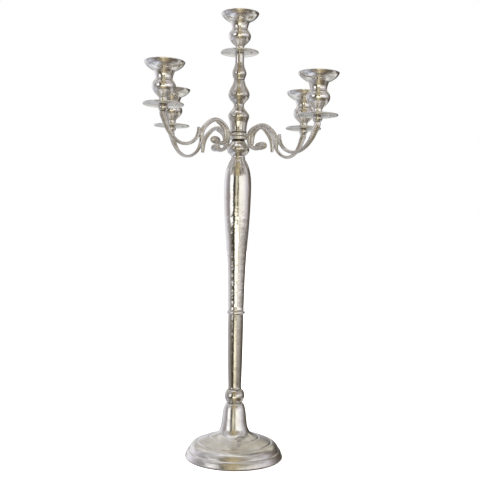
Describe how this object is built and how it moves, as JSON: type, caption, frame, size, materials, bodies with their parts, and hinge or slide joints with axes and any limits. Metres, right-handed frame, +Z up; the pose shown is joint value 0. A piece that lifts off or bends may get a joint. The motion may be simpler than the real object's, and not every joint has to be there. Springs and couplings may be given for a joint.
{
  "type": "tabletop candelabra",
  "caption": "Tall nickel-plated candelabra: round base, baluster stem, scrolled arms crossing at a hub, and flared candle cups over drip pans",
  "frame": {"origin": "middle of the base's underside, on the table, under the tie rod's axis", "axes": "+Z up along the tie rod, -Y towards the front, +X to the right seen from the front"},
  "size_m": [0.3322, 0.2917, 0.8],
  "materials": {
    "nickel_polished": "nickel-plated cast aluminium, turned and polished",
    "nickel_satin": "nickel-plated cast aluminium, satin with faint turning rings",
    "nickel_cast": "nickel-plated sand casting, dull and slightly rough",
    "steel_hardware": "plain steel threaded rod, washer, nut and studs",
    "felt": "dark brown pressed felt"
  },
  "bodies": {
    "stand": {"base_felt": "felt", "base_shell": "nickel_satin", "base_washer": "steel_hardware", "base_nut": "steel_hardware", "tie_rod": "steel_hardware", "stem_knop": "nickel_polished", "lower_stem": "nickel_polished", "joint_ring": "nickel_polished", "baluster": "nickel_polished", "hub_bulb": "nickel_polished", "centre_column": "nickel_polished", "top_stem": "nickel_polished", "drip_pan_top": "nickel_satin"},
    "lower_arms": {"arm_pair_lower": "nickel_cast", "arm_collar_front_right": "nickel_polished", "drip_pan_front_right": "nickel_satin", "arm_collar_back_left": "nickel_polished", "drip_pan_back_left": "nickel_satin"},
    "upper_arms": {"arm_pair_upper": "nickel_cast", "arm_collar_front_left": "nickel_polished", "drip_pan_front_left": "nickel_satin", "arm_collar_back_right": "nickel_polished", "drip_pan_back_right": "nickel_satin"},
    "stud_front_left": {"cup_stud_front_left": "steel_hardware"},
    "cup_front_left": {"candle_cup_front_left": "nickel_polished"},
    "stud_front_right": {"cup_stud_front_right": "steel_hardware"},
    "cup_front_right": {"candle_cup_front_right": "nickel_polished"},
    "stud_back_left": {"cup_stud_back_left": "steel_hardware"},
    "cup_back_left": {"candle_cup_back_left": "nickel_polished"},
    "stud_back_right": {"cup_stud_back_right": "steel_hardware"},
    "cup_back_right": {"candle_cup_back_right": "nickel_polished"},
    "stud_top": {"cup_stud_top": "steel_hardware"},
    "cup_top": {"candle_cup_top": "nickel_polished"}
  },
  "joints": [
    {"name": "lower_arms_swivel", "type": "hinge", "parent": "stand", "child": "lower_arms", "pos_m": [0, 0, 0.5744], "axis": [0, 0, 1], "continuous": true},
    {"name": "upper_arms_swivel", "type": "hinge", "parent": "lower_arms", "child": "upper_arms", "pos_m": [0, 0, 0.5808], "axis": [0, 0, 1], "range_deg": [-50, 70]},
    {"name": "front_left_cup_rise", "type": "slide", "parent": "upper_arms", "child": "stud_front_left", "axis": [0.017, 0.015, 0.9997], "range_m": [0, 0.0076]},
    {"name": "front_left_cup_turn", "type": "hinge", "parent": "stud_front_left", "child": "cup_front_left", "pos_m": [-0.12566, -0.11039, 0.6152], "axis": [0.017, 0.015, 0.9997], "range_deg": [0, 2520]},
    {"name": "front_right_cup_rise", "type": "slide", "parent": "lower_arms", "child": "stud_front_right", "axis": [0.0163, -0.0131, 0.9998], "range_m": [0, 0.0076]},
    {"name": "front_right_cup_turn", "type": "hinge", "parent": "stud_front_right", "child": "cup_front_right", "pos_m": [0.1314, -0.10565, 0.60147], "axis": [0.0163, -0.0131, 0.9998], "range_deg": [0, 2520]},
    {"name": "back_left_cup_rise", "type": "slide", "parent": "lower_arms", "child": "stud_back_left", "axis": [0.0163, -0.0131, 0.9998], "range_m": [0, 0.0076]},
    {"name": "back_left_cup_turn", "type": "hinge", "parent": "stud_back_left", "child": "cup_back_left", "pos_m": [-0.1304, 0.10484, 0.60851], "axis": [0.0163, -0.0131, 0.9998], "range_deg": [0, 2520]},
    {"name": "back_right_cup_rise", "type": "slide", "parent": "upper_arms", "child": "stud_back_right", "axis": [0.017, 0.015, 0.9997], "range_m": [0, 0.0076]},
    {"name": "back_right_cup_turn", "type": "hinge", "parent": "stud_back_right", "child": "cup_back_right", "pos_m": [0.1267, 0.11131, 0.60758], "axis": [0.017, 0.015, 0.9997], "range_deg": [0, 2520]},
    {"name": "top_cup_rise", "type": "slide", "parent": "stand", "child": "stud_top", "axis": [0, 0, 1], "range_m": [0, 0.0076]},
    {"name": "top_cup_turn", "type": "hinge", "parent": "stud_top", "child": "cup_top", "pos_m": [0, 0, 0.7283], "axis": [0, 0, 1], "range_deg": [0, 2520]}
  ],
  "couplings": [
    {"joint": "front_left_cup_rise", "follows": "front_left_cup_turn", "m_per_rad": 0.00015915},
    {"joint": "front_right_cup_rise", "follows": "front_right_cup_turn", "m_per_rad": 0.00015915},
    {"joint": "back_left_cup_rise", "follows": "back_left_cup_turn", "m_per_rad": 0.00015915},
    {"joint": "back_right_cup_rise", "follows": "back_right_cup_turn", "m_per_rad": 0.00015915},
    {"joint": "top_cup_rise", "follows": "top_cup_turn", "m_per_rad": 0.00015915}
  ]
}
